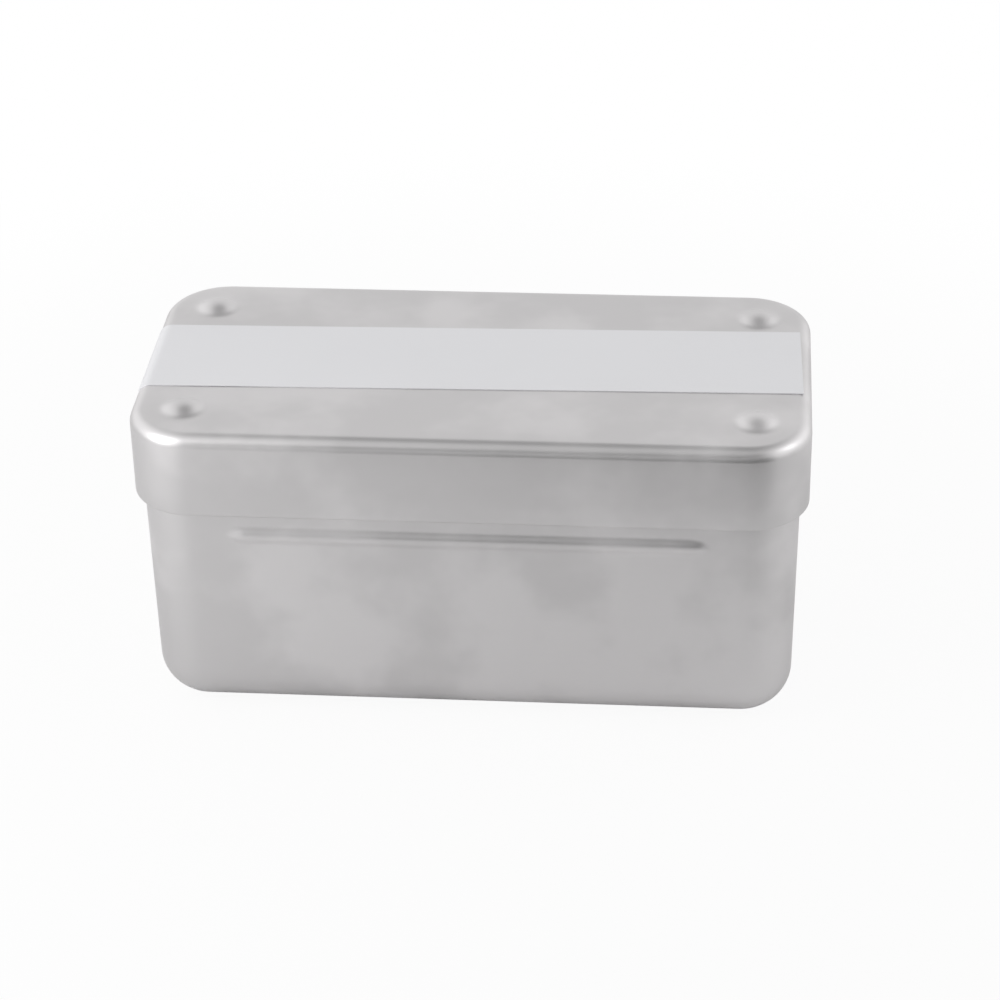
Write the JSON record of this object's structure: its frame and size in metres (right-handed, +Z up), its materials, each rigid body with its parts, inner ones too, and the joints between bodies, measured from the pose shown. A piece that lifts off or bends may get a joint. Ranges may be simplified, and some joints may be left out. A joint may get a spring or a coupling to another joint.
{
  "type": "endodontic file box",
  "caption": "Drawn aluminium box with a slip-on lid, four raised pips and side beads, holding a lift-out file rack with coloured silicone strips and folding wire handles.",
  "frame": {"origin": "centre of the box's underside", "axes": "+X along the box to its right end, +Y to its back, +Z up towards the lid"},
  "size_m": [0.125, 0.062, 0.0623],
  "materials": {
    "drawn_aluminium": "satin",
    "rack_aluminium": "satin",
    "stainless_steel": "polished",
    "label_foil": "satin",
    "foot_silicone": "matte",
    "silicone_white": "matte",
    "silicone_yellow": "matte",
    "silicone_red": "matte",
    "silicone_blue": "matte",
    "silicone_green": "matte",
    "silicone_black": "matte"
  },
  "bodies": {
    "box": {"box_body": "drawn_aluminium"},
    "lid": {"lid": "drawn_aluminium", "lid_label": "label_foil"},
    "rack": {"rack_plate": "rack_aluminium", "guide_plate": "rack_aluminium", "strip_white": "silicone_white", "strip_yellow": "silicone_yellow", "strip_red": "silicone_red", "strip_blue": "silicone_blue", "strip_green": "silicone_green", "strip_black": "silicone_black", "rack_post_1": "stainless_steel", "rack_post_2": "stainless_steel", "rack_post_3": "stainless_steel", "rack_post_4": "stainless_steel", "rack_leg_1": "stainless_steel", "rack_leg_2": "stainless_steel", "rack_leg_3": "stainless_steel", "rack_leg_4": "stainless_steel", "rack_feet": "foot_silicone", "rack_screws": "stainless_steel", "bracket_left_front": "stainless_steel", "bracket_left_back": "stainless_steel", "bracket_right_front": "stainless_steel", "bracket_right_back": "stainless_steel", "bracket_rivets": "rack_aluminium"},
    "handle_left": {"handle_left": "stainless_steel"},
    "handle_right": {"handle_right": "stainless_steel"}
  },
  "joints": [
    {"name": "lid_lift", "type": "slide", "parent": "box", "child": "lid", "axis": [0, 0, 1], "range_m": [0, 0.13]},
    {"name": "rack_lift", "type": "slide", "parent": "box", "child": "rack", "axis": [0, 0, 1], "range_m": [0, 0.065]},
    {"name": "handle_left_fold", "type": "hinge", "parent": "rack", "child": "handle_left", "pos_m": [-0.04458, 0, 0.0452], "axis": [0, 1, 0], "range_deg": [0, 95]},
    {"name": "handle_right_fold", "type": "hinge", "parent": "rack", "child": "handle_right", "pos_m": [0.04458, 0, 0.0452], "axis": [0, -1, 0], "range_deg": [0, 95]}
  ],
  "couplings": [
    {"joint": "rack_lift", "follows": "lid_lift", "ratio": 0.5}
  ]
}
